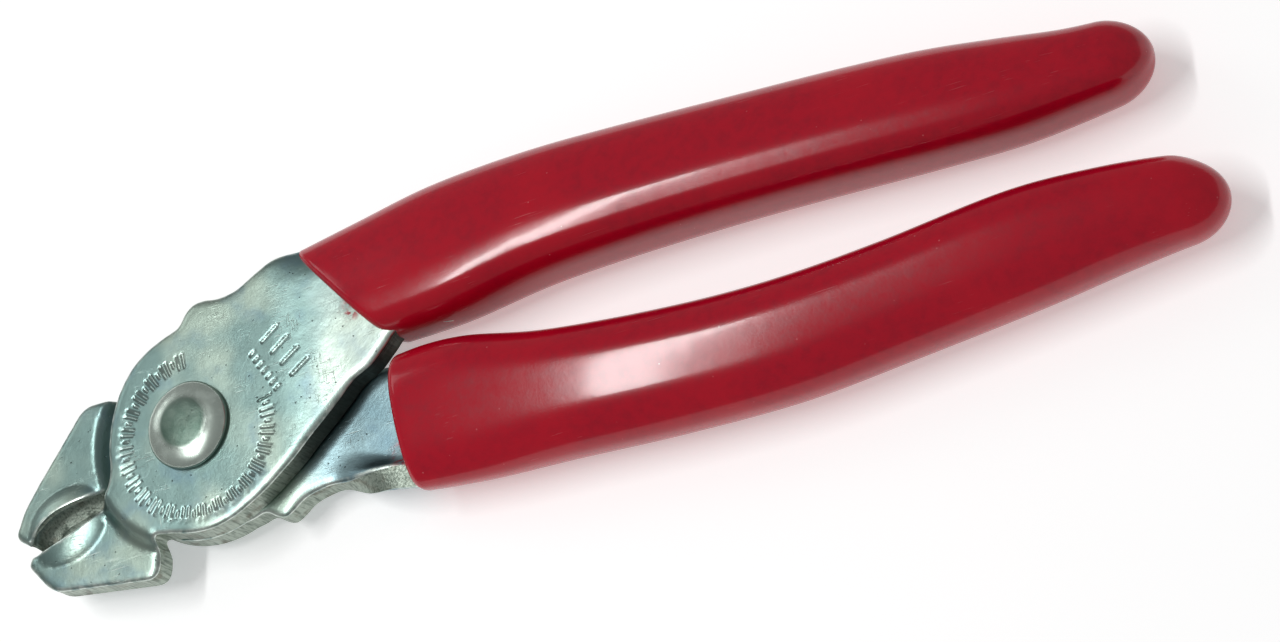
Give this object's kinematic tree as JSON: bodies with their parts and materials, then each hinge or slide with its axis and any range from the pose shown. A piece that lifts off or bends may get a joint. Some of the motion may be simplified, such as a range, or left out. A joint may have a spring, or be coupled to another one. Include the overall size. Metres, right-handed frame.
{
  "type": "fencing pliers",
  "caption": "Ring-closing fencing pliers with side-angled grooved jaws, a riveted lap pivot and thick smooth sleeved handles.",
  "frame": {"origin": "on the pivot axis, at the flat end of the rivet's tail, on the plane the tool lies on", "axes": "+X from the pivot towards the ends of the handles, +Y across the handles towards the handle that belongs to the lower jaw, +Z along the pivot axis towards the rivet's head"},
  "size_m": [0.1886, 0.0487, 0.0143],
  "materials": {
    "plated_steel": "zinc-plated stamped steel, satin, with fine scratches and pits",
    "rivet_steel": "zinc-plated cold-headed steel, slightly rough on the flattened top",
    "grip_vinyl": "thick glossy crimson vinyl with a soft uneven skin"
  },
  "bodies": {
    "front_half": {"front_lever": "plated_steel", "pivot_rivet": "rivet_steel", "upper_grip": "grip_vinyl"},
    "rear_half": {"rear_lever": "plated_steel", "lower_grip": "grip_vinyl"}
  },
  "joints": [
    {"name": "pivot_hinge", "type": "hinge", "parent": "front_half", "child": "rear_half", "pos_m": [0, 0, 0.00705], "axis": [0, 0, 1], "range_deg": [-50, 2.8]}
  ]
}
